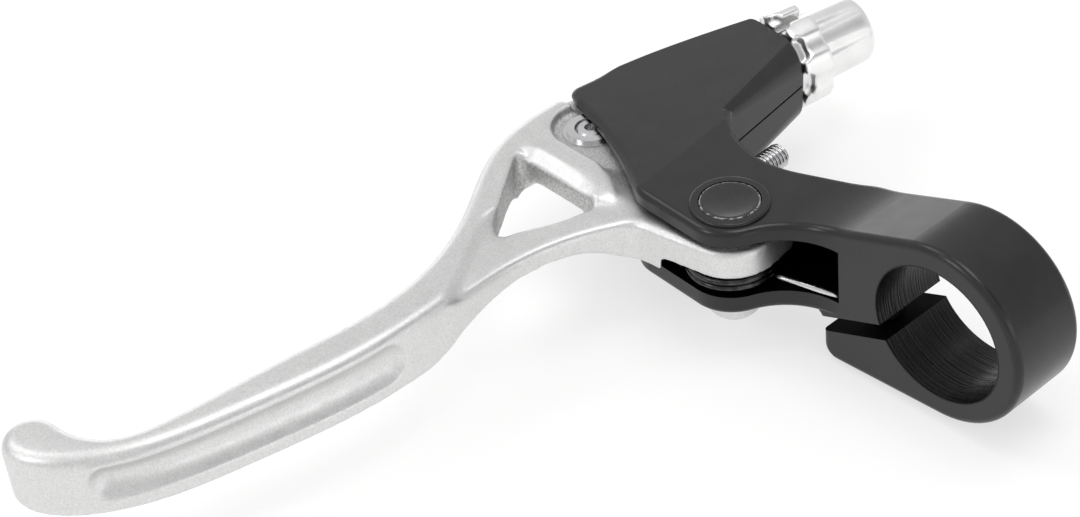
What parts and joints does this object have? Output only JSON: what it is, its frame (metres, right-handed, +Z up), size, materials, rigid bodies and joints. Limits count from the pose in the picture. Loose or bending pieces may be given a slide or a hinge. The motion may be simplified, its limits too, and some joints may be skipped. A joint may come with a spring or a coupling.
{
  "type": "bicycle brake lever",
  "caption": "Left-hand brake lever for a flat handlebar: black clamp bracket, silver blade with a window and an oval finger groove, and a barrel adjuster for the cable.",
  "frame": {"origin": "centre of the handlebar clamp bore, in the middle of its width", "axes": "+X along the handlebar towards its middle, so the blade points to -X; +Y forward, away from the rider; +Z up, along the lever's pivot"},
  "size_m": [0.159, 0.0944, 0.0311],
  "materials": {
    "black_paint": "satin black over cast alloy",
    "silver_cast": "fine-grained satin silver over cast alloy",
    "bright_alloy": "polished",
    "bright_steel": "zinc plated",
    "black_steel": "blackened steel",
    "bearing_bronze": "plain bearing metal"
  },
  "bodies": {
    "bracket": {"bracket_body": "black_paint", "pivot_axle": "black_steel", "pivot_screw": "bright_steel", "thrust_washer": "bright_steel", "return_spring": "bright_steel", "clamp_bolt": "black_steel", "clamp_washer": "bright_steel"},
    "lever": {"lever_blade": "silver_cast", "pivot_bush": "bearing_bronze", "anchor_bush": "bright_steel"},
    "anchor": {"anchor_pin": "bright_steel"},
    "lock": {"lock_ring": "bright_alloy"},
    "barrel": {"barrel_adjuster": "bright_alloy"},
    "reach": {"reach_screw": "bright_steel"}
  },
  "joints": [
    {"name": "lever_pull", "type": "hinge", "parent": "bracket", "child": "lever", "pos_m": [-0.0107, 0.036, 0.0006], "axis": [0, 0, 1], "range_deg": [0, 30], "stiffness_Nm_per_rad": 0.06, "springref_deg": -57.3, "deforming": ["return_spring"]},
    {"name": "anchor_swivel", "type": "hinge", "parent": "lever", "child": "anchor", "pos_m": [-0.008, 0.0689, 0.0006], "axis": [0, 0, 1], "range_deg": [-20.4, 0]},
    {"name": "adjuster_travel", "type": "slide", "parent": "bracket", "child": "lock", "axis": [0.9863, -0.165, 0], "range_m": [0, 0.006]},
    {"name": "adjuster_turn", "type": "hinge", "parent": "lock", "child": "barrel", "pos_m": [-0.008, 0.0689, 0.0006], "axis": [0.9863, -0.165, 0], "range_deg": [0, 2160]},
    {"name": "reach_turn", "type": "hinge", "parent": "bracket", "child": "reach", "pos_m": [0, 0.0455, 0.0006], "axis": [1, 0, 0], "range_deg": [0, 1080]}
  ],
  "couplings": [
    {"joint": "anchor_swivel", "follows": "lever_pull", "ratio": -0.68},
    {"joint": "adjuster_turn", "follows": "adjuster_travel", "rad_per_m": 6283.2}
  ]
}
